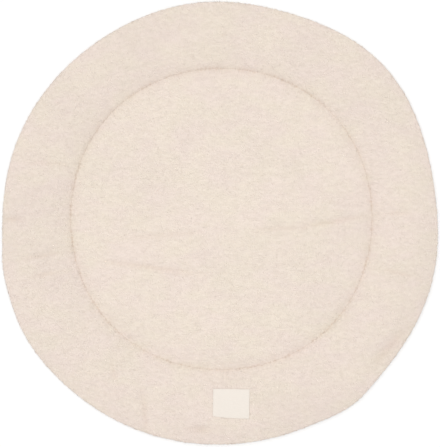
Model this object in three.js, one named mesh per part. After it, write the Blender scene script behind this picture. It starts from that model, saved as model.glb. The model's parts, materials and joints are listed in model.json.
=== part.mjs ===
// Baby play mat: a round padded mat in short-pile fleece, laid flat on a floor. One ring of quilting
// stitches goes through all its layers, and a small blank cloth label is sewn on near the edge.
// Millimetres, +Z up. The origin is on the floor, in the middle of the mat's box. The label is on the -Y side.
import * as THREE from "three";

const { clamp, degToRad, euclideanModulo, lerp, radToDeg } = THREE.MathUtils;

// The outline: a circle that the cloth's give turns slightly square, with soft bulges between flatter runs.
const MAT_RADIUS = 490;
const CLOTH_GIVE = 3; // how far the edge creeps out along the cloth's diagonals
const BULGES = [
  { at: 45, out: 20, spread: 23 },
  { at: 94, out: 13, spread: 23 },
  { at: 161, out: 4, spread: 20 },
  { at: 192, out: 4, spread: 6 },
  { at: 207, out: 11, spread: 17 },
  { at: 259, out: 14, spread: 58 },
  { at: 306, out: 9, spread: 8 },
  { at: 346, out: 7, spread: 17 },
];

// The ring of quilting stitches. It was sewn a little off the middle.
const STITCH_RING = { radius: 342, right: 3, up: 9, give: 2.5 };

// Heights above the floor, and how far from a seam the filling takes to reach its full crown.
const CROWN = 25;
const STITCH_TOP = 10;
const STITCH_UNDERSIDE = 3;
const RIM_HEIGHT = 9;
const STITCH_ROLL = 50;
const STITCH_BED = 3; // half the width of cloth that the stitches pull down flat
const RIM_ROLL = 50;
const ROLL_FULLNESS = 0.7; // less than 1 rounds the rolls out, as filling does
const RIM_CURL = 36; // the width of underside that curls up to the rim
const STITCH_GROOVE = 20; // the width of underside that lifts to the stitches, on each side of them

// Creases left by folding the mat away: soft troughs from one point to another.
const CREASES = [
  { fromX: 50, fromY: -16, toX: 345, toY: 20, depth: 2.6, width: 15 },
  { fromX: 352, fromY: 21, toX: 440, toY: 23, depth: 2.0, width: 13 },
  { fromX: -200, fromY: -28, toX: -40, toY: -20, depth: 1.8, width: 13 },
  { fromX: -285, fromY: -82, toX: -40, toY: -115, depth: 2.2, width: 14 },
  { fromX: -450, fromY: -82, toX: -335, toY: -64, depth: 2.4, width: 13 },
  { fromX: -430, fromY: -122, toX: -350, toY: -108, depth: 1.8, width: 12 },
  { fromX: -495, fromY: 6, toX: -440, toY: 11, depth: 2.6, width: 12 },
  { fromX: -445, fromY: 136, toX: -320, toY: 131, depth: 1.8, width: 12 },
  { fromX: 350, fromY: -101, toX: 445, toY: -122, depth: 2.0, width: 12 },
  { fromX: -174, fromY: -370, toX: -164, toY: -485, depth: 2.4, width: 13 },
  { fromX: -245, fromY: -305, toX: -233, toY: -360, depth: 1.8, width: 12 },
  { fromX: 372, fromY: -318, toX: 425, toY: -240, depth: 2.6, width: 17 },
];

// The label, sewn flat on the border.
const LABEL = { x: 25, y: -405, width: 82, length: 66, thickness: 1, turn: -1 };
const LABEL_CORNER_UP = 4.5; // the lower left corner was sewn this much too high
const LABEL_GAP = 0.35;
const LABEL_CELL = 5;

// The mesh: rings of points round the middle, six more points on each ring than on the last one.
const STITCH_RING_NUMBER = 22;
const RING_COUNT = 34;
const RING_STEP_POINTS = 6;
const RIM_POINTS = RING_STEP_POINTS * RING_COUNT;

// The rings of the underside, as distances in from the rim or out from the stitches.
const UNDERSIDE_FROM_RIM = [8, 20, RIM_CURL];
const UNDERSIDE_FROM_STITCHES = [STITCH_GROOVE, 0, -STITCH_GROOVE];

const FLEECE = new THREE.MeshStandardMaterial({ color: 0xeee1d3, roughness: 0.95, metalness: 0 });
const LABEL_CLOTH = new THREE.MeshStandardMaterial({ color: 0xf6f1e6, roughness: 0.85, metalness: 0 });

function giveOutwards(angle, most) {
  return -most * Math.cos(4 * angle);
}

function rimRadius(angle) {
  const degrees = radToDeg(angle);
  let radius = MAT_RADIUS + giveOutwards(angle, CLOTH_GIVE);
  for (const bulge of BULGES) {
    const away = euclideanModulo(degrees - bulge.at + 180, 360) - 180;
    radius += bulge.out * Math.exp(-((away / bulge.spread) ** 2));
  }
  return radius;
}

function stitchRadius(angle) {
  const offMiddle = STITCH_RING.right * Math.cos(angle) + STITCH_RING.up * Math.sin(angle);
  return STITCH_RING.radius + offMiddle + giveOutwards(angle, STITCH_RING.give);
}

// How much of something is left at a distance from where it is whole: 1 there, and 0 from the reach on.
function fade(distance, reach, power) {
  return (1 - clamp(distance / reach, 0, 1)) ** power;
}

function creaseDepth(x, y) {
  const point = new THREE.Vector2(x, y);
  let depth = 0;
  for (const crease of CREASES) {
    const start = new THREE.Vector2(crease.fromX, crease.fromY);
    const run = new THREE.Vector2(crease.toX, crease.toY).sub(start);
    const share = clamp(point.clone().sub(start).dot(run) / run.lengthSq(), 0, 1);
    const away = point.distanceTo(start.addScaledVector(run, share));
    const alongShare = Math.sin(Math.PI * clamp(share, 0.08, 0.92));
    depth += crease.depth * alongShare * Math.exp(-((away / crease.width) ** 2));
  }
  return depth;
}

// The height of the mat's upper face. The filling swells between the stitches and the rim.
function topHeight(x, y) {
  const angle = Math.atan2(y, x);
  const radius = Math.hypot(x, y);
  const pastStitches = radius - stitchRadius(angle);
  const toRim = rimRadius(angle) - radius;
  const pastBed = Math.max(Math.abs(pastStitches) - STITCH_BED, 0);
  const stitchFill = (1 - fade(pastBed, STITCH_ROLL, 2)) ** ROLL_FULLNESS;
  const rimFill = (1 - fade(toRim, RIM_ROLL, 2)) ** ROLL_FULLNESS;
  const filled = lerp(STITCH_TOP, CROWN, stitchFill);
  return lerp(RIM_HEIGHT, filled, rimFill) - creaseDepth(x, y) * stitchFill * rimFill;
}

// The height of the underside, which lies flat on the floor but for the stitches and the rim.
function undersideHeight(radius, angle) {
  const curl = RIM_HEIGHT * fade(rimRadius(angle) - radius, RIM_CURL, 2);
  const groove = STITCH_UNDERSIDE * fade(Math.abs(radius - stitchRadius(angle)), STITCH_GROOVE, 2);
  return curl + groove;
}

// The radius of the upper face's ring number k. Three rings make the bed of the stitches, and the others
// lie closer together beside it and at the rim.
function topRingRadius(k, angle) {
  const stitches = stitchRadius(angle);
  const pastStitches = k - STITCH_RING_NUMBER;
  if (Math.abs(pastStitches) <= 1) return stitches + pastStitches * STITCH_BED;
  if (pastStitches < 0) {
    const share = k / (STITCH_RING_NUMBER - 1);
    return (stitches - STITCH_BED) * (0.6 * share + 0.4 * Math.sin((share * Math.PI) / 2));
  }
  const share = (pastStitches - 1) / (RING_COUNT - STITCH_RING_NUMBER - 1);
  const eased = 0.5 * share + 0.25 * (1 - Math.cos(share * Math.PI));
  return lerp(stitches + STITCH_BED, rimRadius(angle), eased);
}

function matGeometry() {
  const points = [];
  const faces = [];

  const addRing = (count, pointAt) => {
    const first = points.length / 3;
    for (let i = 0; i < count; i += 1) points.push(...pointAt((i / count) * 2 * Math.PI));
    return { first, count, at: (i) => first + (i % count) };
  };

  // The upper face. From one ring to the next, each sixth of the turn gains one point.
  let inner = addRing(1, () => [0, 0, topHeight(0, 0)]);
  for (let k = 1; k <= RING_COUNT; k += 1) {
    const outer = addRing(RING_STEP_POINTS * k, (angle) => {
      const radius = topRingRadius(k, angle);
      const [x, y] = [radius * Math.cos(angle), radius * Math.sin(angle)];
      return [x, y, k === RING_COUNT ? RIM_HEIGHT : topHeight(x, y)];
    });
    for (let sixth = 0; sixth < RING_STEP_POINTS; sixth += 1) {
      const [innerStart, outerStart] = [sixth * (k - 1), sixth * k];
      for (let i = 0; i < k; i += 1) {
        faces.push(inner.at(innerStart + i), outer.at(outerStart + i), outer.at(outerStart + i + 1));
      }
      for (let i = 0; i < k - 1; i += 1) {
        faces.push(inner.at(innerStart + i), outer.at(outerStart + i + 1), inner.at(innerStart + i + 1));
      }
    }
    inner = outer;
  }

  // The underside, from the rim's own points in to the middle.
  const undersideRadii = [
    ...UNDERSIDE_FROM_RIM.map((distance) => (angle) => rimRadius(angle) - distance),
    ...UNDERSIDE_FROM_STITCHES.map((distance) => (angle) => stitchRadius(angle) + distance),
  ];
  let outer = inner;
  for (const radiusAt of undersideRadii) {
    const next = addRing(RIM_POINTS, (angle) => {
      const radius = radiusAt(angle);
      return [radius * Math.cos(angle), radius * Math.sin(angle), undersideHeight(radius, angle)];
    });
    for (let i = 0; i < RIM_POINTS; i += 1) {
      faces.push(outer.at(i), next.at(i), next.at(i + 1));
      faces.push(outer.at(i), next.at(i + 1), outer.at(i + 1));
    }
    outer = next;
  }
  const middle = addRing(1, () => [0, 0, 0]);
  for (let i = 0; i < RIM_POINTS; i += 1) faces.push(outer.at(i), middle.first, outer.at(i + 1));

  const geometry = new THREE.BufferGeometry();
  geometry.setAttribute("position", new THREE.Float32BufferAttribute(points, 3));
  geometry.setIndex(faces);
  geometry.computeVertexNormals();
  return geometry;
}

// A thin oblong of cloth that lies on the mat's crown, in the label's own place and turn.
function labelGeometry(place) {
  const { width, length, thickness } = LABEL;
  const cells = [Math.round(width / LABEL_CELL), Math.round(length / LABEL_CELL), 1];
  const geometry = new THREE.BoxGeometry(width, length, thickness, ...cells);
  const position = geometry.getAttribute("position");
  const point = new THREE.Vector3();
  for (let i = 0; i < position.count; i += 1) {
    point.fromBufferAttribute(position, i);
    const leftShare = clamp(0.5 - point.x / width, 0, 1);
    const lowerShare = clamp(0.5 - point.y / length, 0, 1);
    point.y += LABEL_CORNER_UP * leftShare ** 3 * lowerShare;
    const onMat = point.clone().applyMatrix4(place);
    position.setZ(i, topHeight(onMat.x, onMat.y) + LABEL_GAP + thickness / 2 + point.z);
    position.setY(i, point.y);
  }
  geometry.computeVertexNormals();
  return geometry;
}

const mat = new THREE.Mesh(matGeometry(), FLEECE);
mat.name = "mat";

const label = new THREE.Mesh(undefined, LABEL_CLOTH);
label.name = "label";
label.position.set(LABEL.x, LABEL.y, 0);
label.rotation.z = degToRad(LABEL.turn);
label.updateMatrix();
label.geometry = labelGeometry(label.matrix);

const playMat = new THREE.Group();
playMat.add(mat, label);

export default playMat;
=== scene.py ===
"""A round padded play mat in short-pile fleece, laid flat on a pale floor.

The mat is two fleece panels sewn together round the rim, filled with soft padding and quilted through with
one ring of stitches. A small bare label is sewn on near the edge, on the -Y side. Metres, +Z up, with the
origin on the floor under the middle of the mat.
"""

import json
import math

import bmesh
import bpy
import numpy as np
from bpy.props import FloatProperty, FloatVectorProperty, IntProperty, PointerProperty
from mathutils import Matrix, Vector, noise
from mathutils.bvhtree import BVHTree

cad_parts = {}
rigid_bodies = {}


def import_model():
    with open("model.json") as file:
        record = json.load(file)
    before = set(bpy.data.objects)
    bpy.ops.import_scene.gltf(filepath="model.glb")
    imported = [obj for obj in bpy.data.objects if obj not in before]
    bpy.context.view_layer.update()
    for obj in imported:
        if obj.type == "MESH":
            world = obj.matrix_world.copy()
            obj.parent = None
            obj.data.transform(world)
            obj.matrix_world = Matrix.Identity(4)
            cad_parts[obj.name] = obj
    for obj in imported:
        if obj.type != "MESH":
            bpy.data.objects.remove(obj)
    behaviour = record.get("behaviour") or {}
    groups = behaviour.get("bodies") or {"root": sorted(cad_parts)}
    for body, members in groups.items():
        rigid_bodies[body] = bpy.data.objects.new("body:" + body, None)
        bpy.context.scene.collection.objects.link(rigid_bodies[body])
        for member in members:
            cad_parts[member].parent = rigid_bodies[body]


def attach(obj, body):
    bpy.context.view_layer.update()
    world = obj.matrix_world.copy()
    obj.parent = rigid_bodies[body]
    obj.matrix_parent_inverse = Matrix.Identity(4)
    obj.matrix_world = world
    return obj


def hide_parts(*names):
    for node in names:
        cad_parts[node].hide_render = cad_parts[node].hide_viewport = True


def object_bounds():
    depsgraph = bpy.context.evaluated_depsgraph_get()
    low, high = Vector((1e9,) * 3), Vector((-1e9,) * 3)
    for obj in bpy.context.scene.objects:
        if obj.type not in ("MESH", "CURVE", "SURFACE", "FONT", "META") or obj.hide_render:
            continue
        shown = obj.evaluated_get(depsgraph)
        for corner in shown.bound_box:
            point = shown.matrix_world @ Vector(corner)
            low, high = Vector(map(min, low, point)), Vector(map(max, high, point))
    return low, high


bl_info = {
    "name": "Round play mat",
    "version": (1, 0, 0),
    "blender": (4, 5, 0),
    "location": "View3D > Sidebar > Play mat",
    "description": "Builds a padded round play mat in short-pile fleece, with its stitches, pile and label",
    "category": "Add Mesh",
}

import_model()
CAD_LOW, CAD_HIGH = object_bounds()

MM = 0.001

# The outline: a circle that the cloth's give turns slightly square, with soft bulges between flatter runs.
# Places are in degrees, and sizes in millimetres.
MAT_RADIUS = 490
CLOTH_GIVE = 3
BULGES = [
    {"at": 45, "out": 20, "spread": 23},
    {"at": 94, "out": 13, "spread": 23},
    {"at": 161, "out": 4, "spread": 20},
    {"at": 192, "out": 4, "spread": 6},
    {"at": 207, "out": 11, "spread": 17},
    {"at": 259, "out": 14, "spread": 58},
    {"at": 306, "out": 9, "spread": 8},
    {"at": 346, "out": 7, "spread": 17},
]
STITCH_RING = {"radius": 342, "right": 3, "up": 9, "give": 2.5}

# Creases left by folding the mat away, in millimetres: narrow troughs from one point to another.
CREASES = [
    {"start": (60, -17), "end": (190, -10), "depth": 3.4, "width": 9},
    {"start": (160, -13), "end": (355, 20), "depth": 5.4, "width": 9},
    {"start": (352, 21), "end": (440, 23), "depth": 3.4, "width": 8},
    {"start": (-215, -36), "end": (-40, -20), "depth": 3.2, "width": 8},
    {"start": (-285, -82), "end": (-20, -118), "depth": 5.0, "width": 9},
    {"start": (-450, -82), "end": (-335, -64), "depth": 4.2, "width": 8},
    {"start": (-430, -122), "end": (-350, -108), "depth": 4.0, "width": 8},
    {"start": (-495, 6), "end": (-440, 11), "depth": 6.0, "width": 9},
    {"start": (-445, 136), "end": (-320, 131), "depth": 3.2, "width": 8},
    {"start": (350, -101), "end": (445, -122), "depth": 4.0, "width": 8},
    {"start": (-174, -370), "end": (-164, -485), "depth": 5.0, "width": 9},
    {"start": (-245, -305), "end": (-233, -360), "depth": 4.0, "width": 8},
    {"start": (335, -330), "end": (428, -228), "depth": 7.0, "width": 18},
    {"start": (-75, -460), "end": (-10, -468), "depth": 6.0, "width": 13},
]

# Heights above the floor and lengths over which they change, in millimetres.
CROWN = 25
STITCH_TOP = 10
STITCH_UNDERSIDE = 3
RIM_HEIGHT = 9
STITCH_ROLL = 50
STITCH_BED = 1.5
RIM_ROLL = 50
ROLL_FULLNESS = 0.7
PULL_INSIDE = 13
PULL_OUTSIDE = 5
RIM_CURL = 36
STITCH_GROOVE = 20
LUMP_LENGTH = 70

# The little folds beside the seams: about how many go round, and how far from the seam they lie and spread,
# in millimetres.
GATHERS = {
    "disc": {"count": 110, "seed": 1, "at": 9, "spread": 7},
    "border": {"count": 120, "seed": 2, "at": 9, "spread": 7},
    "rim": {"count": 150, "seed": 3, "at": 9, "spread": 8},
    "underside": {"count": 150, "seed": 4, "at": 9, "spread": 8},
}

# The rings of the upper panel: how much the mesh step grows with the distance from a seam, and how far the
# bulges bring the rim out on the whole, in millimetres.
STEP_GROWTH = 0.3
MEAN_BULGE = 10

# The rings of the lower panel: distances in from the rim, and then out from the stitches, in millimetres.
UNDERSIDE_FROM_RIM = [3, 7, 12, 18, 26, 36]
UNDERSIDE_FROM_STITCHES = [20, 12, 5, 0, -5, -12, -20]

# The parts of the pile, from the middle out, and how far each reaches: in shares of the stitches' radius on
# the disc, and counted on from 1 to 2 between the stitches and the rim.
PILE_PARTS = {
    "fleece_middle": 0.71,
    "fleece_disc": 1.0,
    "fleece_border": 1.36,
    "fleece_crown": 1.68,
    "fleece_rim": 2.0,
}
UNDERSIDE_PILE = 12  # how far in from the rim the pile reaches underneath, in millimetres
LABEL_CLEARANCE = 1.2  # how far the pile stays off the label, in millimetres

# How far the stitches' middles stand off the cloth, in millimetres, and how many points their lines have.
STITCH_LIFT = 0.15
LABEL_STITCH_LIFT = 0.05
RING_POINTS = 720
LABEL_SIDE_POINTS = 24

# How the fleece is tinted, as factors of its colour: in its redder and its yellower patches, where it has
# had more use, as painted shade on the border where the light falls off towards the rim, and as painted
# shade along the sunken stitches and in the creases.
ROSY = (1.001, 0.991, 1.005)
SANDY = (0.999, 1.009, 0.988)
USED_TINT = (0.985, 0.985, 0.985)
BORDER_SHADE_TINT = (0.987, 0.985, 0.987)
PAINTED_SHADE_TINT = (0.885, 0.835, 0.79)

# How strong the painted shade is: in dark spots where the stitches pinch the pile, in a wide band over the
# sunken stitch channel, and for each millimetre of a crease. Widths are in millimetres.
STITCH_SHADE_SPOTS = {"count": 260, "seed": 6, "strength": 2, "threshold": 0.5, "width": 3}
STITCH_SHADE_BAND = {"count": 40, "seed": 7, "strength": 0.08, "unevenness": 0.5, "width": 14}
CREASE_SHADE = 0.06
CREASE_SHADE_WIDTH = 0.6

# The fleece in the cloth simulation, soft enough to swell over its filling, and how near to a seam a point
# is held, as a share.
CLOTH = {
    "quality": 4,
    "mass": 0.3,
    "tension_stiffness": 20,
    "compression_stiffness": 20,
    "shear_stiffness": 8,
    "bending_stiffness": 1.5,
}
CLOTH_FRAMES = 20
SMOOTHING_ROUNDS = 3
SEWN_AT_STITCHES = 0.006
SEWN_AT_RIM = 0.01

# The label's cloth: the cells of its grid, the width of its rounded edge, and its dip at the stitches, its
# lift at the edges and its waves, in millimetres.
LABEL_CELLS = {"columns": 61, "rows": 49}
LABEL_EDGE = 0.4
LABEL_DIP = {"height": 0.35, "width": 0.9}
LABEL_LIFT = {"height": 0.25, "width": 1.5}
LABEL_WAVES = {"height": 0.25, "length": 20, "seed": 7}

# The lights: a round softbox straight overhead, in metres, and a window far to the upper left.
SOFTBOX = {"width": 2.0, "height": 3.4}
WINDOW = {"direction": (1, -1, -1.2), "spread": math.radians(50)}

# The photograph's height, and the rows of its pixels where the mat starts and ends.
PHOTO = {"height": 447, "mat_top": 1, "mat_bottom": 445}


class MatSizes(bpy.types.PropertyGroup):
    """Sizes of the padded body."""

    cell: FloatProperty(
        name="Mesh step", description="How far apart a panel's points are", default=4.8 * MM, unit="LENGTH"
    )
    first_cell: FloatProperty(
        name="Step at a seam", description="The mesh step beside a seam", default=1.5 * MM, unit="LENGTH"
    )
    sink: FloatProperty(
        name="Pile depth", description="How deep the panels lie in the pile", default=0.9 * MM, unit="LENGTH"
    )
    rim_sink: FloatProperty(
        name="Rim pile", description="How far the pile stands past the rim", default=1.8 * MM, unit="LENGTH"
    )
    pressure: FloatProperty(name="Filling pressure", description="How hard the filling pushes", default=4.0)
    most_swell: FloatProperty(
        name="Most swell", description="The most the filling pushes the cloth", default=3 * MM, unit="LENGTH"
    )
    slump: FloatProperty(
        name="Slump", description="How much lower the slack cloth starts", default=2.5 * MM, unit="LENGTH"
    )
    slack: FloatProperty(
        name="Slack", description="How much wider the cloth is cut", default=0.002, subtype="FACTOR"
    )
    pull: FloatProperty(
        name="Pull", description="How far the stitches pull down the cloth", default=1.8 * MM, unit="LENGTH"
    )
    gather: FloatProperty(
        name="Gathers", description="Height of the folds beside a seam", default=0.8 * MM, unit="LENGTH"
    )
    unevenness: FloatProperty(
        name="Unevenness", description="Height of the filling's soft lumps", default=0.7 * MM, unit="LENGTH"
    )
    color: FloatVectorProperty(
        name="Colour", description="Colour of the fleece", default=(0.826, 0.741, 0.668), subtype="COLOR"
    )


class PileSizes(bpy.types.PropertyGroup):
    """Sizes of the short curly pile."""

    spacing: FloatProperty(
        name="Spacing", description="Least distance between two locks", default=2.95 * MM, unit="LENGTH"
    )
    density: FloatProperty(name="Density", description="Locks tried for each square metre", default=600000)
    smallest: FloatProperty(
        name="Smallest", description="The smallest lock's size", default=0.8, subtype="FACTOR"
    )
    largest: FloatProperty(
        name="Largest", description="The largest lock's size", default=1.2, subtype="FACTOR"
    )
    lean: FloatProperty(name="Lean", description="How far a lock may tip", default=0.2, subtype="ANGLE")
    bare: FloatProperty(
        name="Bare strip", description="Half its width, along the stitches", default=1.8 * MM, unit="LENGTH"
    )
    seed: IntProperty(name="Seed", description="Seed of the locks' places", default=3)


class StitchSizes(bpy.types.PropertyGroup):
    """Sizes of the stitches."""

    pitch: FloatProperty(
        name="Pitch", description="From one stitch to the next", default=5.6 * MM, unit="LENGTH"
    )
    length: FloatProperty(name="Length", description="Length of a stitch", default=3.8 * MM, unit="LENGTH")
    thick: FloatProperty(
        name="Thickness", description="Thickness of the thread", default=0.9 * MM, unit="LENGTH"
    )
    label_share: FloatProperty(
        name="Label share", description="The label's stitches to the mat's", default=0.45, subtype="FACTOR"
    )
    color: FloatVectorProperty(
        name="Colour", description="Colour of the thread", default=(0.70, 0.59, 0.50), subtype="COLOR"
    )


class LabelSizes(bpy.types.PropertyGroup):
    """Sizes of the label."""

    place: FloatVectorProperty(
        name="Place",
        description="Middle of the label",
        size=2,
        default=(25 * MM, -405 * MM),
        subtype="XYZ_LENGTH",
    )
    width: FloatProperty(name="Width", description="Width of the label", default=82 * MM, unit="LENGTH")
    length: FloatProperty(name="Length", description="Length of the label", default=66 * MM, unit="LENGTH")
    thick: FloatProperty(
        name="Thickness", description="Thickness of the cloth", default=0.7 * MM, unit="LENGTH"
    )
    bed: FloatProperty(
        name="Bed", description="Height of the pile pressed down under it", default=0.8 * MM, unit="LENGTH"
    )
    turn: FloatProperty(
        name="Turn", description="How the label is turned", default=math.radians(-1), subtype="ANGLE"
    )
    corner_up: FloatProperty(
        name="Corner up", description="How much too high a corner is sewn", default=4.5 * MM, unit="LENGTH"
    )
    hem: FloatProperty(
        name="Hem", description="From the edge to the stitches", default=2.6 * MM, unit="LENGTH"
    )
    color: FloatVectorProperty(
        name="Colour", description="Colour of the label", default=(0.81, 0.745, 0.675), subtype="COLOR"
    )


class StageSizes(bpy.types.PropertyGroup):
    """The floor, the light and the camera."""

    floor: FloatProperty(name="Floor", description="Width of the floor", default=40.0, unit="LENGTH")
    floor_gap: FloatProperty(
        name="Floor gap", description="How far the floor lies below the mat", default=0.1 * MM, unit="LENGTH"
    )
    lens: FloatProperty(name="Lens", description="Focal length in millimetres", default=100.0)
    sky: FloatProperty(name="Sky light", description="Strength of the light from all round", default=0.65)
    softbox: FloatProperty(name="Softbox", description="Power of the softbox overhead", default=55.0)
    window: FloatProperty(
        name="Window light", description="Strength of the light from the upper left", default=0.3
    )


# The shape of the mat. All lengths here are in millimetres.


def give_outwards(angle, most):
    return -most * np.cos(4 * angle)


def rim_radius(angle):
    radius = MAT_RADIUS + give_outwards(angle, CLOTH_GIVE)
    for bulge in BULGES:
        away = (np.degrees(angle) - bulge["at"] + 180) % 360 - 180
        radius = radius + bulge["out"] * bell(away, bulge["spread"])
    return radius


def stitch_radius(angle):
    off_middle = STITCH_RING["right"] * np.cos(angle) + STITCH_RING["up"] * np.sin(angle)
    return STITCH_RING["radius"] + off_middle + give_outwards(angle, STITCH_RING["give"])


def bell(distance, width):
    """A smooth bump of height 1 over the distance 0."""
    return np.exp(-((distance / width) ** 2))


def fade(distance, reach, power):
    """How much of something is left at a distance from where it is whole: 1 there, 0 from the reach on."""
    return (1 - np.clip(distance / reach, 0, 1)) ** power


def crease_depth(x, y, width_share=1.0):
    """The depth of the creases, whose widths may be narrowed to a share."""
    points = np.stack([x, y], axis=-1)
    depth = np.zeros(len(points))
    for crease in CREASES:
        start = np.array(crease["start"], float)
        run = np.array(crease["end"], float) - start
        share = np.clip((points - start) @ run / (run @ run), 0, 1)
        away = np.linalg.norm(points - start - share[:, None] * run, axis=1)
        along = np.sin(np.pi * np.clip(share, 0.08, 0.92))
        depth += crease["depth"] * along * bell(away, width_share * crease["width"])
    return depth


def gathers(angle, count, seed):
    """Uneven little folds round a seam, about this many of them, from -1 to 1."""
    rng = np.random.default_rng(seed)
    folds = np.zeros(len(angle))
    waves = 6
    for turns in rng.integers(int(0.7 * count), int(1.3 * count), waves):
        folds += np.cos(turns * angle + rng.uniform(0, 2 * np.pi))
    return np.clip(folds / (waves / 2), -1, 1)


def gathered(where, angle, from_seam):
    """The gathers beside a seam, from -1 to 1, at a distance from it."""
    row = GATHERS[where]
    return gathers(angle, row["count"], row["seed"]) * bell(from_seam - row["at"], row["spread"])


def soft_lumps(x, y, seed):
    """The filling's slow unevenness, from about -1 to 1."""
    return np.array([noise.noise(Vector((a / LUMP_LENGTH, b / LUMP_LENGTH, seed))) for a, b in zip(x, y)])


def from_seams(x, y):
    """How far points lie past the stitches, which is negative on the disc, and how far in from the rim."""
    angle, radius = np.arctan2(y, x), np.hypot(x, y)
    return radius - stitch_radius(angle), np.maximum(rim_radius(angle) - radius, 0)


def rolls(x, y):
    """How full the mat is beside its stitches and beside its rim, from 0 to 1."""
    past_stitches, to_rim = from_seams(x, y)
    past_bed = np.maximum(np.abs(past_stitches) - STITCH_BED, 0)
    stitch_fill = (1 - fade(past_bed, STITCH_ROLL, 2)) ** ROLL_FULLNESS
    rim_fill = (1 - fade(to_rim, RIM_ROLL, 2)) ** ROLL_FULLNESS
    return stitch_fill, rim_fill


def top_height(x, y):
    """The height of the upper panel before the filling swells it."""
    stitch_fill, rim_fill = rolls(x, y)
    filled = STITCH_TOP + (CROWN - STITCH_TOP) * stitch_fill
    return RIM_HEIGHT + (filled - RIM_HEIGHT) * rim_fill


def fold_height(x, y, sizes):
    """The gathers beside the seams, the creases and the filling's unevenness, on the swollen upper panel."""
    angle = np.arctan2(y, x)
    past_stitches, to_rim = from_seams(x, y)
    stitch_fill, rim_fill = rolls(x, y)
    on_disc, on_border = gathered("disc", angle, -past_stitches), gathered("border", angle, past_stitches)
    folds = np.where(past_stitches < 0, on_disc, on_border) + gathered("rim", angle, to_rim)
    height = sizes.gather / MM * folds
    height += (sizes.unevenness / MM * soft_lumps(x, y, 5) - crease_depth(x, y)) * stitch_fill * rim_fill
    pull_width = np.where(past_stitches < 0, PULL_INSIDE, PULL_OUTSIDE)
    return height - sizes.pull / MM * bell(past_stitches, pull_width)


def underside_height(x, y, sizes):
    """The height of the lower panel, which lies on the floor but for the stitches and the rim."""
    angle = np.arctan2(y, x)
    radius = np.hypot(x, y)
    to_rim = np.maximum(rim_radius(angle) - radius, 0)
    curl = RIM_HEIGHT * fade(to_rim, RIM_CURL, 2)
    groove = STITCH_UNDERSIDE * fade(np.abs(radius - stitch_radius(angle)), STITCH_GROOVE, 2)
    folds = 0.5 * sizes.gather / MM * gathered("underside", angle, to_rim)
    return np.maximum(curl + groove + folds, 0)


def graded(length, first, step, last=None):
    """Places from 0 to length, as shares of it. The steps grow from the first, and shrink to the last."""
    places = [0.0]
    while places[-1] < length:
        from_start = first + STEP_GROWTH * places[-1]
        to_end = step if last is None else last + STEP_GROWTH * max(length - places[-1], 0)
        places.append(places[-1] + min(from_start, to_end, step))
    return np.array(places) / places[-1]


# Tools for meshes, materials and trees of nodes.


def linked(name, data, material=None):
    """An object with its own mesh, light or camera, in the scene."""
    piece = bpy.data.objects.new(name, data)
    bpy.context.scene.collection.objects.link(piece)
    if material:
        data.materials.clear()
        data.materials.append(material)
    return piece


def new_mesh(name, points, faces):
    mesh = bpy.data.meshes.new(name)
    mesh.from_pydata([tuple(p) for p in points], [], faces)
    mesh.validate()
    mesh.polygons.foreach_set("use_smooth", [True] * len(mesh.polygons))
    mesh.update()
    return mesh


def coordinates(mesh):
    flat = np.empty(len(mesh.vertices) * 3, np.float32)
    mesh.vertices.foreach_get("co", flat)
    return flat.reshape(-1, 3).astype(float)


def set_coordinates(mesh, points):
    mesh.vertices.foreach_set("co", points.astype(np.float32).ravel())
    mesh.update()


def add_node(tree, kind, settings=None, **inputs):
    """Adds a node. An input is a value, an output that feeds it, or a node whose first output feeds it.

    In an input's name, _ stands for a space.
    """
    node = tree.nodes.new(kind)
    for name, value in (settings or {}).items():
        setattr(node, name, value)
    for name, value in inputs.items():
        socket = node.inputs[name] if name in node.inputs else node.inputs[name.replace("_", " ")]
        if isinstance(value, bpy.types.Node):
            value = next(output for output in value.outputs if output.enabled)
        if isinstance(value, bpy.types.NodeSocket):
            tree.links.new(value, socket)
        else:
            socket.default_value = value
    return node


def new_material(name):
    material = bpy.data.materials.new(name)
    material.use_nodes = True
    material.node_tree.nodes.clear()
    return material, material.node_tree


def add_shader(tree, **inputs):
    """Ends a material's tree in its shader."""
    shader = add_node(tree, "ShaderNodeBsdfPrincipled", **inputs)
    add_node(tree, "ShaderNodeOutputMaterial", Surface=shader.outputs["BSDF"])


def mixed_color(tree, factor, first, second):
    """A colour between two, by a factor from 0 to 1."""
    colors = {"A": (*first, 1), "B": (*second, 1)}
    return add_node(tree, "ShaderNodeMix", {"data_type": "RGBA"}, Factor=factor, **colors)


def multiplied_color(tree, factor, color, tint):
    """A colour that is multiplied by a tint where the factor is 1."""
    settings = {"data_type": "RGBA", "blend_type": "MULTIPLY"}
    return add_node(tree, "ShaderNodeMix", settings, Factor=factor, A=color, B=(*tint, 1))


def ranged(tree, value, low, high):
    """A value spread from low and high to 0 and 1."""
    return add_node(tree, "ShaderNodeMapRange", Value=value, From_Min=low, From_Max=high)


def noise_of(tree, place, scale, detail, **inputs):
    return add_node(tree, "ShaderNodeTexNoise", Vector=place, Scale=scale, Detail=detail, **inputs)


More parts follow.
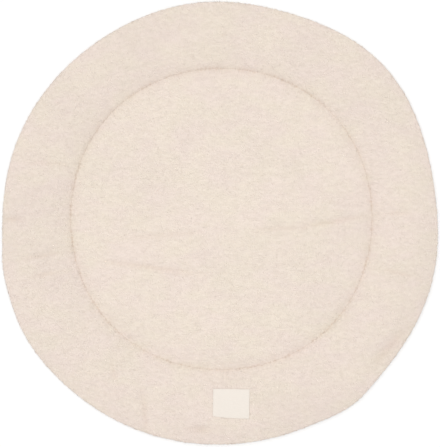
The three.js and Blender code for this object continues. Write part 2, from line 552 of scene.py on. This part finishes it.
def fleece_material(name, color, shade, lumps):
    """Warm cream fleece, with painted shade on the border, along the stitches and in the creases. Locks
    differ in colour by the shade, and lumps is the height of its bump.
    """
    material, tree = new_material(name)
    place = add_node(tree, "ShaderNodeTexCoord").outputs["Object"]
    brushed = add_node(tree, "ShaderNodeMapping", Vector=place, Scale=(0.55, 1, 1))
    from_middle = add_node(tree, "ShaderNodeVectorMath", {"operation": "LENGTH"}, Vector=place)
    ring = STITCH_RING["radius"] * MM
    border = ranged(tree, from_middle, ring - 9 * MM, ring + 10 * MM)
    rosy = [c * t for c, t in zip(color, ROSY)]
    sandy = [c * t for c, t in zip(color, SANDY)]
    patches = ranged(tree, noise_of(tree, brushed, 26, 2), 0.35, 0.65)
    warm = mixed_color(tree, patches, rosy, sandy)
    used = multiplied_color(tree, ranged(tree, noise_of(tree, place, 6, 1), 0.4, 0.65), warm, USED_TINT)
    # Painted shade: the border is made a shade darker than the disc, as the light falls off towards the rim.
    border_shaded = multiplied_color(tree, border, used, BORDER_SHADE_TINT)
    clumps = ranged(tree, noise_of(tree, brushed, 140, 1), 0.62, 0.38)
    shaded = multiplied_color(tree, clumps, border_shaded, (1 - shade, 1 - 1.1 * shade, 1 - 1.2 * shade))
    # Painted shade, kept on the body's points: darker along the sunken stitches and in the creases.
    pressed = add_node(tree, "ShaderNodeAttribute", {"attribute_name": "painted_shade"}).outputs["Fac"]
    locks = noise_of(tree, place, 260, 1, Distortion=0.8)
    rough = add_node(tree, "ShaderNodeBump", Strength=1, Distance=lumps, Height=locks)
    fibres = {"Height": noise_of(tree, place, 1100, 3, Roughness=0.65)}
    bump = add_node(tree, "ShaderNodeBump", Strength=0.8, Distance=0.4 * MM, Normal=rough, **fibres)
    add_shader(
        tree,
        Base_Color=multiplied_color(tree, pressed, shaded, PAINTED_SHADE_TINT),
        Roughness=0.95,
        Diffuse_Roughness=0.5,
        Normal=bump,
        Specular_IOR_Level=0.15,
        Sheen_Weight=0.12,
        Sheen_Roughness=0.6,
        Sheen_Tint=(1.0, 0.94, 0.88, 1.0),
    )
    return material


def thread_material(name, color):
    """Spun thread: fine slanting plies along each stitch."""
    material, tree = new_material(name)
    place = add_node(tree, "ShaderNodeTexCoord").outputs["Object"]
    diagonal = {"bands_direction": "DIAGONAL"}
    plies = add_node(tree, "ShaderNodeTexWave", diagonal, Vector=place, Scale=900, Distortion=2)
    dark = [0.86 * c for c in color]
    bump = add_node(tree, "ShaderNodeBump", Strength=0.6, Distance=0.2 * MM, Height=plies.outputs["Fac"])
    add_shader(
        tree,
        Base_Color=mixed_color(tree, ranged(tree, noise_of(tree, place, 400, 2), 0.35, 0.65), dark, color),
        Roughness=0.6,
        Normal=bump,
        Specular_IOR_Level=0.3,
        Sheen_Weight=0.1,
    )
    return material


def label_material(name, color):
    """Fine plain-woven cotton. The weave follows the label's own UV map, which is in metres."""
    material, tree = new_material(name)
    flat = add_node(tree, "ShaderNodeTexCoord").outputs["UV"]
    weave = add_node(tree, "ShaderNodeMath", {"operation": "MULTIPLY"})
    for number, direction in enumerate("XY"):
        bands = {"bands_direction": direction}
        threads = add_node(tree, "ShaderNodeTexWave", bands, Vector=flat, Scale=420, Distortion=0.6)
        tree.links.new(threads.outputs["Fac"], weave.inputs[number])
    drawn_out = add_node(tree, "ShaderNodeMapping", Vector=flat, Scale=(1, 9, 1))
    slubs = ranged(tree, noise_of(tree, drawn_out, 110, 3), 0.3, 0.6)
    dark = [0.95 * c for c in color]
    bump = add_node(tree, "ShaderNodeBump", Strength=0.4, Distance=0.2 * MM, Height=weave)
    add_shader(
        tree,
        Base_Color=mixed_color(tree, slubs, dark, color),
        Roughness=0.8,
        Normal=bump,
        Specular_IOR_Level=0.2,
        Sheen_Weight=0.05,
    )
    return material


def floor_material(name):
    """A plain pale matt floor with a very faint unevenness."""
    material, tree = new_material(name)
    place = add_node(tree, "ShaderNodeTexCoord").outputs["Object"]
    base = mixed_color(tree, noise_of(tree, place, 3, 2), (0.93, 0.93, 0.93), (0.95, 0.95, 0.95))
    add_shader(tree, Base_Color=base, Roughness=0.9, Specular_IOR_Level=0.1)
    return material


def new_tree(name, sizes):
    """A Geometry Nodes tree with a named input for each size, given as names and kinds of socket."""
    tree = bpy.data.node_groups.new(name, "GeometryNodeTree")
    tree.interface.new_socket("Geometry", in_out="INPUT", socket_type="NodeSocketGeometry")
    for size_name, kind in sizes.items():
        tree.interface.new_socket(size_name, in_out="INPUT", socket_type=f"NodeSocket{kind}")
    tree.interface.new_socket("Geometry", in_out="OUTPUT", socket_type="NodeSocketGeometry")
    return tree, tree.nodes.new("NodeGroupInput").outputs, tree.nodes.new("NodeGroupOutput")


def finish_tree(tree, placed, material, result):
    """Ends a tree: its instances are made real, in their material."""
    real = add_node(tree, "GeometryNodeRealizeInstances", Geometry=placed)
    dressed = add_node(tree, "GeometryNodeSetMaterial", Geometry=real, Material=material)
    tree.links.new(dressed.outputs["Geometry"], result.inputs["Geometry"])


def grown(name, carrier_mesh, tree, inputs):
    """A plain mesh object that a tree grows on a carrier mesh."""
    piece = linked(name, carrier_mesh)
    modifier = piece.modifiers.new("grow", "NODES")
    modifier.node_group = tree
    for item in tree.interface.items_tree:
        if item.in_out == "INPUT" and item.name in inputs:
            modifier[item.identifier] = inputs[item.name]
    graph = bpy.context.evaluated_depsgraph_get()
    mesh = bpy.data.meshes.new_from_object(piece.evaluated_get(graph))
    mesh.name = name
    piece.modifiers.remove(modifier)
    piece.data = mesh
    return piece


# The padded body.


def panel_rings(sizes):
    """The rings of a panel's points, as shares: 0 in the middle, 1 at the stitches and 2 at the rim."""
    cell, first = sizes.cell / MM, sizes.first_cell / MM
    radius = STITCH_RING["radius"]
    inner = 1 - graded(radius, first, cell)[::-1]
    outer = 1 + graded(MAT_RADIUS + MEAN_BULGE - radius, first, cell, last=first)
    return np.concatenate([inner, outer[1:]])


def ring_points(angle_of, share_of, sizes):
    """X and Y of points at shares between the middle, the stitches and the rim."""
    stitches = stitch_radius(angle_of)
    rim = rim_radius(angle_of) - sizes.rim_sink / MM
    radius = np.where(share_of <= 1, share_of * stitches, stitches + (share_of - 1) * (rim - stitches))
    return radius * np.cos(angle_of), radius * np.sin(angle_of)


def upper_panel(sizes):
    """The upper panel. From one ring to the next, each sixth of the turn gains one point."""
    shares = panel_rings(sizes)
    ring_of = np.concatenate([[0]] + [np.full(6 * k, k) for k in range(1, len(shares))])
    step_of = np.concatenate([[0]] + [np.arange(6 * k) for k in range(1, len(shares))])
    angle_of = 2 * np.pi * step_of / np.maximum(6 * ring_of, 1)
    share_of = shares[ring_of]
    x, y = ring_points(angle_of, share_of, sizes)
    height = top_height(x, y) - sizes.sink / MM
    height[share_of == 2] = RIM_HEIGHT

    faces = []
    for k in range(1, len(shares)):
        inner_first, inner_count = (0, 1) if k == 1 else (1 + 3 * (k - 2) * (k - 1), 6 * (k - 1))
        outer_first, outer_count = 1 + 3 * (k - 1) * k, 6 * k
        for sixth in range(6):
            for i in range(k):
                a = inner_first + (sixth * (k - 1) + i) % inner_count
                b = outer_first + sixth * k + i
                c = outer_first + (sixth * k + i + 1) % outer_count
                faces.append((a, b, c))
                if i < k - 1:
                    d = inner_first + (sixth * (k - 1) + i + 1) % inner_count
                    faces.append((a, c, d))
    return np.stack([x, y, height], axis=1), share_of, faces


def lower_panel(rim_first, rim_count, sizes):
    """The lower panel's points and faces, from the rim's own points in to the middle."""
    angle = 2 * np.pi * np.arange(rim_count) / rim_count
    rim, stitches = rim_radius(angle) - sizes.rim_sink / MM, stitch_radius(angle)
    radii = [rim - distance for distance in UNDERSIDE_FROM_RIM]
    radii += [stitches + distance for distance in UNDERSIDE_FROM_STITCHES]
    points, faces = [], []
    outer_first, next_first = rim_first, rim_first + rim_count
    for radius in radii:
        x, y = radius * np.cos(angle), radius * np.sin(angle)
        points.append(np.stack([x, y, underside_height(x, y, sizes)], axis=1))
        for i in range(rim_count):
            j = (i + 1) % rim_count
            faces.append((outer_first + i, next_first + i, next_first + j, outer_first + j))
        outer_first, next_first = next_first, next_first + rim_count
    points.append(np.zeros((1, 3)))
    faces += [(outer_first + i, next_first, outer_first + (i + 1) % rim_count) for i in range(rim_count)]
    return np.concatenate(points), faces


def mat_mesh(sizes):
    """Both panels, joined at the rim, with the shares of the upper one's points and its number of faces."""
    upper, share_of, upper_faces = upper_panel(sizes)
    rim_count = int((share_of == 2).sum())
    lower, lower_faces = lower_panel(len(upper) - rim_count, rim_count, sizes)
    mesh = new_mesh("mat", np.concatenate([upper, lower]) * MM, upper_faces + lower_faces)
    return mesh, share_of, len(upper_faces)


def smoothed(mesh, values, rounds):
    """Values at the points of a mesh, averaged with their neighbours' a number of times."""
    ends = np.empty(len(mesh.edges) * 2, np.int32)
    mesh.edges.foreach_get("vertices", ends)
    first, second = ends.reshape(-1, 2).T
    neighbours = np.bincount(ends, minlength=len(values))[:, None]
    for _ in range(rounds):
        total = np.zeros_like(values)
        np.add.at(total, first, values[second])
        np.add.at(total, second, values[first])
        values = 0.5 * values + 0.5 * total / neighbours
    return values


def fill_with_padding(piece, share_of, sizes):
    """Cloth simulation: the upper panel starts a little slack, and its filling swells it."""
    scene = bpy.context.scene
    rest = coordinates(piece.data)
    upper = slice(0, len(share_of))
    stitch_fill, rim_fill = rolls(rest[upper, 0] / MM, rest[upper, 1] / MM)
    rest[upper, 2] -= sizes.slump * stitch_fill * rim_fill
    set_coordinates(piece.data, rest)
    sewn = np.full(len(rest), True)
    sewn[upper] = (np.abs(share_of - 1) < SEWN_AT_STITCHES) | (share_of > 2 - SEWN_AT_RIM)
    group = piece.vertex_groups.new(name="sewn")
    group.add(np.nonzero(sewn)[0].tolist(), 1.0, "REPLACE")
    cloth = piece.modifiers.new("filling", "CLOTH")
    cloth.settings.vertex_group_mass = "sewn"
    for name, value in CLOTH.items():
        setattr(cloth.settings, name, value)
    cloth.settings.shrink_min = -sizes.slack
    cloth.settings.use_pressure = True
    cloth.settings.uniform_pressure_force = sizes.pressure
    cloth.settings.effector_weights.gravity = 0
    cloth.collision_settings.use_collision = False
    for frame_number in range(1, CLOTH_FRAMES + 1):
        scene.frame_set(frame_number)
    graph = bpy.context.evaluated_depsgraph_get()
    swollen = coordinates(piece.evaluated_get(graph).data)
    piece.modifiers.remove(cloth)
    piece.vertex_groups.clear()
    scene.frame_set(1)
    moved = swollen - rest
    length = np.maximum(np.linalg.norm(moved, axis=1, keepdims=True), 1e-9)
    moved *= sizes.most_swell * np.tanh(length / sizes.most_swell) / length
    moved = smoothed(piece.data, moved, SMOOTHING_ROUNDS)
    moved[sewn] = 0
    set_coordinates(piece.data, rest + moved)


def add_folds(mesh, share_of, sizes):
    """Adds the folds that are finer than the simulation's, all but at the rim."""
    points = coordinates(mesh)
    inner = np.nonzero(share_of < 2)[0]
    x, y = points[inner, 0] / MM, points[inner, 1] / MM
    points[inner, 2] += fold_height(x, y, sizes) * MM
    set_coordinates(mesh, points)


def mark_painted_shade(mesh):
    """Marks how much painted shade each point gets, from 0 to 1: at the stitches and in the creases."""
    x, y = coordinates(mesh)[:, :2].T / MM
    angle = np.arctan2(y, x)
    past_stitches = np.hypot(x, y) - stitch_radius(angle)
    spots, band = STITCH_SHADE_SPOTS, STITCH_SHADE_BAND
    # Painted shade: dark spots where the stitches pinch the pile, and a wider band over the sunken channel.
    spot_shade = spots["strength"] * gathers(angle, spots["count"], spots["seed"]) - spots["threshold"]
    pressed = band["strength"] * (1 + band["unevenness"] * gathers(angle, band["count"], band["seed"]))
    painted_shade = np.maximum(spot_shade, 0) * bell(past_stitches, spots["width"])
    painted_shade += pressed * bell(past_stitches, band["width"])
    # Painted shade in the creases, darker where they are deeper.
    painted_shade += CREASE_SHADE * crease_depth(x, y, CREASE_SHADE_WIDTH)
    painted_shade = np.clip(painted_shade, 0, 1)
    mesh.attributes.new("painted_shade", "FLOAT", "POINT").data.foreach_set("value", painted_shade.astype(np.float32))


def near_label(x, y, label, clearance):
    """True for points under the label or within a clearance round it."""
    cos, sin = math.cos(-label.turn), math.sin(-label.turn)
    across = (x - label.place[0]) * cos - (y - label.place[1]) * sin
    along = (x - label.place[0]) * sin + (y - label.place[1]) * cos
    within_width = np.abs(across) < label.width / 2 + clearance
    return within_width & (np.abs(along) < label.length / 2 + clearance)


def mark_pile_parts(mesh, top_face_count, pile, label):
    """Numbers each face by the part of the pile that grows on it, and 0 where it stays bare."""
    centres = np.empty(len(mesh.polygons) * 3, np.float32)
    mesh.polygons.foreach_get("center", centres)
    x, y = centres.reshape(-1, 3)[:, :2].T.astype(float)
    angle, radius = np.arctan2(y, x), np.hypot(x, y) / MM
    stitches, rim = stitch_radius(angle), rim_radius(angle)
    share = np.where(radius < stitches, radius / stitches, 1 + (radius - stitches) / (rim - stitches))
    part = np.zeros(len(share), int)
    inner = 0
    for number, outer in enumerate(PILE_PARTS.values(), start=1):
        part[(share >= inner) & (share < outer)] = number
        inner = outer
    part[np.abs(radius - stitches) < pile.bare / MM] = 0
    part[near_label(x, y, label, LABEL_CLEARANCE * MM)] = 0
    underneath = np.arange(len(part)) >= top_face_count
    part[underneath & (rim - radius > UNDERSIDE_PILE)] = 0
    mesh.attributes.new("pile_part", "INT", "FACE").data.foreach_set("value", part.astype(np.int32))


# The pile.

# The locks of the pile, in millimetres. The bend is how far a lock's middle lies to one side of its ends.
LOCKS = [
    {"length": 6.2, "width": 3.9, "height": 1.1, "bend": 1.0},
    {"length": 5.2, "width": 3.6, "height": 1.25, "bend": -0.7},
    {"length": 7.2, "width": 3.5, "height": 1.0, "bend": -1.6},
]
LOCK_FOOT = [(-0.5, 0), (-0.25, -0.5), (0.25, -0.5), (0.5, 0), (0.25, 0.5), (-0.25, 0.5)]
LOCK_RIDGE = [(-0.24, 0.75), (0.08, 1.0), (0.36, 0.7)]
LOCK_DEPTH = 0.7


def lock_mesh(name, lock):
    """A closed lock of pile: a bent ridge, lying over a rounded foot that is sunk in the panel."""
    foot = [(along, across, -LOCK_DEPTH) for along, across in LOCK_FOOT]
    ridge = [(along, 0, up * lock["height"]) for along, up in LOCK_RIDGE]
    points = []
    for along, across, height in foot + ridge:
        side = lock["bend"] * (1 - 4 * along * along)
        points.append((along * lock["length"], across * lock["width"] + side, height))
    faces = [(0, 1, 6), (1, 7, 6), (1, 2, 7), (2, 8, 7), (2, 3, 8)]
    faces += [(3, 4, 8), (4, 7, 8), (4, 5, 7), (5, 6, 7), (5, 0, 6)]
    faces.append((5, 4, 3, 2, 1, 0))
    return new_mesh(name, np.array(points) * MM, faces)


# The sizes of the pile that its tree takes, named as its properties are.
PILE_INPUTS = ["Spacing", "Density", "Smallest", "Largest", "Lean"]


def pile_tree(locks, material):
    """Scatters locks over the faces of one part, upright on them, each turned and leaning its own way."""
    inputs = {"Part": "Int", **{name: "Float" for name in PILE_INPUTS}, "Seed": "Int"}
    tree, given, result = new_tree("Curly pile", inputs)
    whole, vector = {"data_type": "INT"}, {"data_type": "FLOAT_VECTOR"}
    part = add_node(tree, "GeometryNodeInputNamedAttribute", whole, Name="pile_part")
    same = {"data_type": "INT", "operation": "EQUAL"}
    scatter = add_node(
        tree,
        "GeometryNodeDistributePointsOnFaces",
        {"distribute_method": "POISSON"},
        Mesh=given["Geometry"],
        Selection=add_node(tree, "FunctionNodeCompare", same, A=part, B=given["Part"]),
        Distance_Min=given["Spacing"],
        Density_Max=given["Density"],
        Seed=given["Seed"],
    )
    lean = given["Lean"]
    back = add_node(tree, "ShaderNodeMath", {"operation": "MULTIPLY"})
    tree.links.new(lean, back.inputs[0])
    back.inputs[1].default_value = -1.0
    low = add_node(tree, "ShaderNodeCombineXYZ", X=back, Y=back, Z=-math.pi)
    high = add_node(tree, "ShaderNodeCombineXYZ", X=lean, Y=lean, Z=math.pi)
    rotation = add_node(
        tree,
        "FunctionNodeRotateRotation",
        {"rotation_space": "LOCAL"},
        Rotation=scatter.outputs["Rotation"],
        Rotate_By=add_node(tree, "FunctionNodeRandomValue", vector, Min=low, Max=high, Seed=given["Seed"]),
    )
    lock_sizes = {"Min": given["Smallest"], "Max": given["Largest"], "Seed": given["Seed"]}
    placed = add_node(
        tree,
        "GeometryNodeInstanceOnPoints",
        Points=scatter,
        Instance=add_node(tree, "GeometryNodeCollectionInfo", Collection=locks, Separate_Children=True),
        Pick_Instance=True,
        Instance_Index=add_node(tree, "FunctionNodeRandomValue", whole, Min=0, Max=len(LOCKS) - 1),
        Rotation=rotation,
        Scale=add_node(tree, "FunctionNodeRandomValue", **lock_sizes),
    )
    finish_tree(tree, placed, material, result)
    return tree


# The stitches.


def stitch_mesh(name, length, thick):
    """A closed stitch of thread along X, arched, with its ends going down into the cloth."""
    sides, rings = 5, 5
    points, faces = [], []
    for ring in range(rings):
        share = ring / (rings - 1)
        along = (share - 0.5) * length
        up = thick * (0.75 * math.sin(math.pi * share) - 0.35)
        half = 0.5 * thick * (0.55 + 0.45 * math.sin(math.pi * share))
        for side in range(sides):
            turn = 2 * math.pi * side / sides
            points.append((along, half * math.cos(turn), up + half * math.sin(turn)))
    for ring in range(rings - 1):
        for side in range(sides):
            a, b = sides * ring + side, sides * ring + (side + 1) % sides
            faces.append((a, a + sides, b + sides, b))
    faces.append(tuple(range(sides)))
    faces.append(tuple(range(sides * (rings - 1), sides * rings))[::-1])
    return new_mesh(name, points, faces)


def stitch_tree(material):
    """Stitches at an even pitch along a line of points, each along the line and upright."""
    tree, given, result = new_tree("Row of stitches", {"Stitch": "Object", "Pitch": "Float", "Up": "Vector"})
    line = add_node(tree, "GeometryNodeMeshToCurve", Mesh=given["Geometry"])
    even = {"mode": "LENGTH"}
    spots = add_node(tree, "GeometryNodeCurveToPoints", even, Curve=line, Length=given["Pitch"])
    upright = add_node(
        tree,
        "FunctionNodeAxesToRotation",
        {"primary_axis": "X", "secondary_axis": "Z"},
        Primary_Axis=spots.outputs["Tangent"],
        Secondary_Axis=given["Up"],
    )
    original = {"transform_space": "ORIGINAL"}
    stitch = add_node(tree, "GeometryNodeObjectInfo", original, Object=given["Stitch"]).outputs["Geometry"]
    placed = add_node(
        tree, "GeometryNodeInstanceOnPoints", Points=spots, Instance=stitch, Rotation=upright
    )
    finish_tree(tree, placed, material, result)
    return tree


def closed_line_mesh(name, points):
    mesh = bpy.data.meshes.new(name)
    edges = [(i, (i + 1) % len(points)) for i in range(len(points))]
    mesh.from_pydata([tuple(p) for p in points], edges, [])
    return mesh


def height_on(surface, x, y, side=1):
    """The height of the body's surface at a point, from above or, where the side is -1, from below."""
    return surface.ray_cast(Vector((x, y, 0.1 * side)), Vector((0, 0, -side)))[0].z


def surface_of(piece):
    points = [v.co for v in piece.data.vertices]
    return BVHTree.FromPolygons(points, [tuple(p.vertices) for p in piece.data.polygons])


# The label.


def label_bed(across, along, label, surface):
    """The point under the label at a place on it, from its middle, on the pile that it presses down."""
    left, lower = 0.5 - across / label.width, 0.5 - along / label.length
    along = along + label.corner_up * left**3 * lower
    cos, sin = math.cos(label.turn), math.sin(label.turn)
    x = label.place[0] + across * cos - along * sin
    y = label.place[1] + across * sin + along * cos
    return x, y, height_on(surface, x, y) + label.bed


def label_height(across, along, label):
    """How far the label's cloth stands off its bed: it dips at its stitches, and lifts at its edges."""
    to_edge = min(label.width / 2 - abs(across), label.length / 2 - abs(along))
    dip = LABEL_DIP["height"] * bell(to_edge - label.hem, LABEL_DIP["width"] * MM)
    lift = LABEL_LIFT["height"] * bell(to_edge, LABEL_LIFT["width"] * MM)
    wave_length = LABEL_WAVES["length"] * MM
    waves = noise.noise(Vector((across / wave_length, along / wave_length, LABEL_WAVES["seed"])))
    return (lift - dip + LABEL_WAVES["height"] * waves) * MM


def label_mesh(label, surface):
    """The label's cloth: a fine grid, closed round its edge, with its own flat UV map in metres."""
    columns, rows = (
        np.concatenate([[0], np.linspace(LABEL_EDGE * MM, side - LABEL_EDGE * MM, count), [side]])
        for side, count in ((label.width, LABEL_CELLS["columns"]), (label.length, LABEL_CELLS["rows"]))
    )
    points, flat, faces = [], [], []
    for layer in (label.thick, 0):
        for row in rows:
            for column in columns:
                across, along = column - label.width / 2, row - label.length / 2
                x, y, z = label_bed(across, along, label, surface)
                edge = column in (0, label.width) or row in (0, label.length)
                layer_height = label.thick / 2 if edge else layer
                points.append((x, y, z + label_height(across, along, label) + layer_height))
                flat.append((column, row))
    width, count = len(columns), len(columns) * len(rows)
    for i in range(len(rows) - 1):
        for j in range(width - 1):
            a = i * width + j
            top = (a, a + 1, a + width + 1, a + width)
            faces += [top, tuple(p + count for p in top[::-1])]
    mesh = bpy.data.meshes.new("label_cloth")
    mesh.from_pydata(points, [], faces)
    uv = mesh.uv_layers.new(name="flat")
    for loop in mesh.loops:
        uv.data[loop.index].uv = flat[loop.vertex_index]
    return welded(mesh)


def welded(mesh):
    """Joins the points of a mesh that lie in one place."""
    work = bmesh.new()
    work.from_mesh(mesh)
    bmesh.ops.remove_doubles(work, verts=work.verts, dist=1e-6)
    work.to_mesh(mesh)
    work.free()
    mesh.polygons.foreach_set("use_smooth", [True] * len(mesh.polygons))
    mesh.update()
    return mesh


def label_seam(label, surface):
    """Points along the label's stitches, once round it."""
    half_width, half_length = label.width / 2 - label.hem, label.length / 2 - label.hem
    corners = [(-half_width, -half_length), (half_width, -half_length)]
    corners += [(half_width, half_length), (-half_width, half_length)]
    points = []
    for (x0, y0), (x1, y1) in zip(corners, corners[1:] + corners[:1]):
        for share in np.linspace(0, 1, LABEL_SIDE_POINTS, endpoint=False):
            across, along = x0 + share * (x1 - x0), y0 + share * (y1 - y0)
            x, y, z = label_bed(across, along, label, surface)
            points.append((x, y, z + label_height(across, along, label)))
    return points


def ride_on_mat(piece):
    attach(piece, "root")


class PLAYMAT_OT_body(bpy.types.Operator):
    """Makes the padded body of the mat."""

    bl_idname = "playmat.body"
    bl_label = "Padded body"

    def execute(self, context):
        sizes, pile, label = context.scene.mat_sizes, context.scene.pile_sizes, context.scene.label_sizes
        mesh, share_of, top_face_count = mat_mesh(sizes)
        fleece = fleece_material("fleece ground", sizes.color, shade=0.04, lumps=1.2 * MM)
        body = linked("mat_body", mesh, fleece)
        fill_with_padding(body, share_of, sizes)
        add_folds(mesh, share_of, sizes)
        mark_pile_parts(mesh, top_face_count, pile, label)
        mark_painted_shade(mesh)
        ride_on_mat(body)
        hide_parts("mat")
        return {"FINISHED"}


class PLAYMAT_OT_pile(bpy.types.Operator):
    """Grows the short curly pile on the body, part by part."""

    bl_idname = "playmat.pile"
    bl_label = "Curly pile"

    def execute(self, context):
        sizes, pile = context.scene.mat_sizes, context.scene.pile_sizes
        locks = bpy.data.collections.new("locks")
        for number, lock in enumerate(LOCKS):
            locks.objects.link(bpy.data.objects.new(f"lock_{number}", lock_mesh(f"lock_{number}", lock)))
        fleece = fleece_material("fleece pile", sizes.color, shade=0.034, lumps=0.12 * MM)
        tree = pile_tree(locks, fleece)
        body = bpy.data.objects["mat_body"]
        for number, part in enumerate(PILE_PARTS, start=1):
            inputs = {name: getattr(pile, name.lower()) for name in PILE_INPUTS}
            inputs.update({"Part": number, "Seed": pile.seed + number})
            ride_on_mat(grown(part, body.data, tree, inputs))
        for lock in list(locks.objects):
            bpy.data.objects.remove(lock)
        bpy.data.collections.remove(locks)
        return {"FINISHED"}


class PLAYMAT_OT_stitches(bpy.types.Operator):
    """Sews the ring of quilting stitches, on both faces of the mat."""

    bl_idname = "playmat.stitches"
    bl_label = "Quilting stitches"

    def execute(self, context):
        stitches = context.scene.stitch_sizes
        surface = surface_of(bpy.data.objects["mat_body"])
        tree = stitch_tree(thread_material("quilting thread", stitches.color))
        shape = bpy.data.objects.new("stitch", stitch_mesh("stitch", stitches.length, stitches.thick))
        angles = np.linspace(0, 2 * np.pi, RING_POINTS, endpoint=False)
        radii = stitch_radius(angles) * MM
        for name, side in (("stitches_top", 1), ("stitches_underside", -1)):
            points = []
            for x, y in zip(radii * np.cos(angles), radii * np.sin(angles)):
                points.append((x, y, height_on(surface, x, y, side) + side * STITCH_LIFT * MM))
            inputs = {"Stitch": shape, "Pitch": stitches.pitch, "Up": (0, 0, side)}
            ride_on_mat(grown(name, closed_line_mesh(name, points), tree, inputs))
        bpy.data.objects.remove(shape)
        return {"FINISHED"}


class PLAYMAT_OT_label(bpy.types.Operator):
    """Sews on the bare label."""

    bl_idname = "playmat.label"
    bl_label = "Label"

    def execute(self, context):
        label, stitches = context.scene.label_sizes, context.scene.stitch_sizes
        surface = surface_of(bpy.data.objects["mat_body"])
        cotton = label_material("label cotton", label.color)
        cloth = linked("label_cloth", label_mesh(label, surface), cotton)
        ride_on_mat(cloth)
        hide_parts("label")

        share = stitches.label_share
        stitch = stitch_mesh("stitch", share * stitches.length, 0.7 * share * stitches.thick)
        shape = bpy.data.objects.new("stitch", stitch)
        lift = label.thick + LABEL_STITCH_LIFT * MM
        points = [(x, y, z + lift) for x, y, z in label_seam(label, surface)]
        tree = stitch_tree(thread_material("label thread", label.color))
        inputs = {"Stitch": shape, "Pitch": share * stitches.pitch, "Up": (0, 0, 1)}
        seam = grown("label_stitches", closed_line_mesh("label_stitches", points), tree, inputs)
        ride_on_mat(seam)
        bpy.data.objects.remove(shape)
        return {"FINISHED"}


class PLAYMAT_OT_stage(bpy.types.Operator):
    """Sets up the floor, the light and the camera straight above the mat."""

    bl_idname = "playmat.stage"
    bl_label = "Stage"

    def execute(self, context):
        stage = context.scene.stage_sizes
        half, down = stage.floor / 2, -stage.floor_gap
        corners = [(-half, -half, down), (half, -half, down), (half, half, down), (-half, half, down)]
        floor = linked("floor", new_mesh("floor", corners, [(0, 1, 2, 3)]), floor_material("pale floor"))

        world = bpy.data.worlds.new("studio")
        world.use_nodes = True
        background = world.node_tree.nodes["Background"]
        background.inputs["Color"].default_value = (1, 1, 1, 1)
        background.inputs["Strength"].default_value = stage.sky
        context.scene.world = world

        box = bpy.data.lights.new("softbox", "AREA")
        box.shape, box.size, box.energy = "DISK", SOFTBOX["width"], stage.softbox
        linked("softbox", box).location = (0, 0, SOFTBOX["height"])

        sun = bpy.data.lights.new("window", "SUN")
        sun.energy, sun.angle = stage.window, WINDOW["spread"]
        turn = Vector(WINDOW["direction"]).to_track_quat("-Z", "Y")
        linked("window", sun).rotation_euler = turn.to_euler()

        camera = bpy.data.cameras.new("camera")
        camera.lens, camera.sensor_width = stage.lens, 36.0
        metres_per_pixel = (CAD_HIGH.y - CAD_LOW.y) / (PHOTO["mat_bottom"] - PHOTO["mat_top"])
        field = PHOTO["height"] * metres_per_pixel
        mat_middle = (PHOTO["mat_bottom"] + PHOTO["mat_top"]) / 2
        distance = field * camera.lens / camera.sensor_width
        up = (mat_middle - PHOTO["height"] / 2) * metres_per_pixel
        eye = linked("camera", camera)
        eye.location = (0, up, RIM_HEIGHT * MM + distance)
        context.scene.camera = eye
        context.scene.view_settings.view_transform = "Standard"
        return {"FINISHED"}


class PLAYMAT_PT_panel(bpy.types.Panel):
    """Lists the mat's pieces in the sidebar."""

    bl_idname = "PLAYMAT_PT_panel"
    bl_label = "Play mat"
    bl_space_type = "VIEW_3D"
    bl_region_type = "UI"
    bl_category = "Play mat"

    def draw(self, context):
        for operator in OPERATORS:
            self.layout.operator(operator.bl_idname)


SIZE_GROUPS = {
    "mat_sizes": MatSizes,
    "pile_sizes": PileSizes,
    "stitch_sizes": StitchSizes,
    "label_sizes": LabelSizes,
    "stage_sizes": StageSizes,
}
OPERATORS = [PLAYMAT_OT_body, PLAYMAT_OT_pile, PLAYMAT_OT_stitches, PLAYMAT_OT_label, PLAYMAT_OT_stage]


def register():
    for cls in [*SIZE_GROUPS.values(), *OPERATORS, PLAYMAT_PT_panel]:
        bpy.utils.register_class(cls)
    for name, group in SIZE_GROUPS.items():
        setattr(bpy.types.Scene, name, PointerProperty(type=group))


def unregister():
    for name in SIZE_GROUPS:
        delattr(bpy.types.Scene, name)
    for cls in [PLAYMAT_PT_panel, *OPERATORS[::-1], *list(SIZE_GROUPS.values())[::-1]]:
        bpy.utils.unregister_class(cls)


def main():
    register()
    bpy.ops.playmat.body()
    bpy.ops.playmat.pile()
    bpy.ops.playmat.stitches()
    bpy.ops.playmat.label()
    bpy.ops.playmat.stage()


if __name__ == "__main__":
    main()
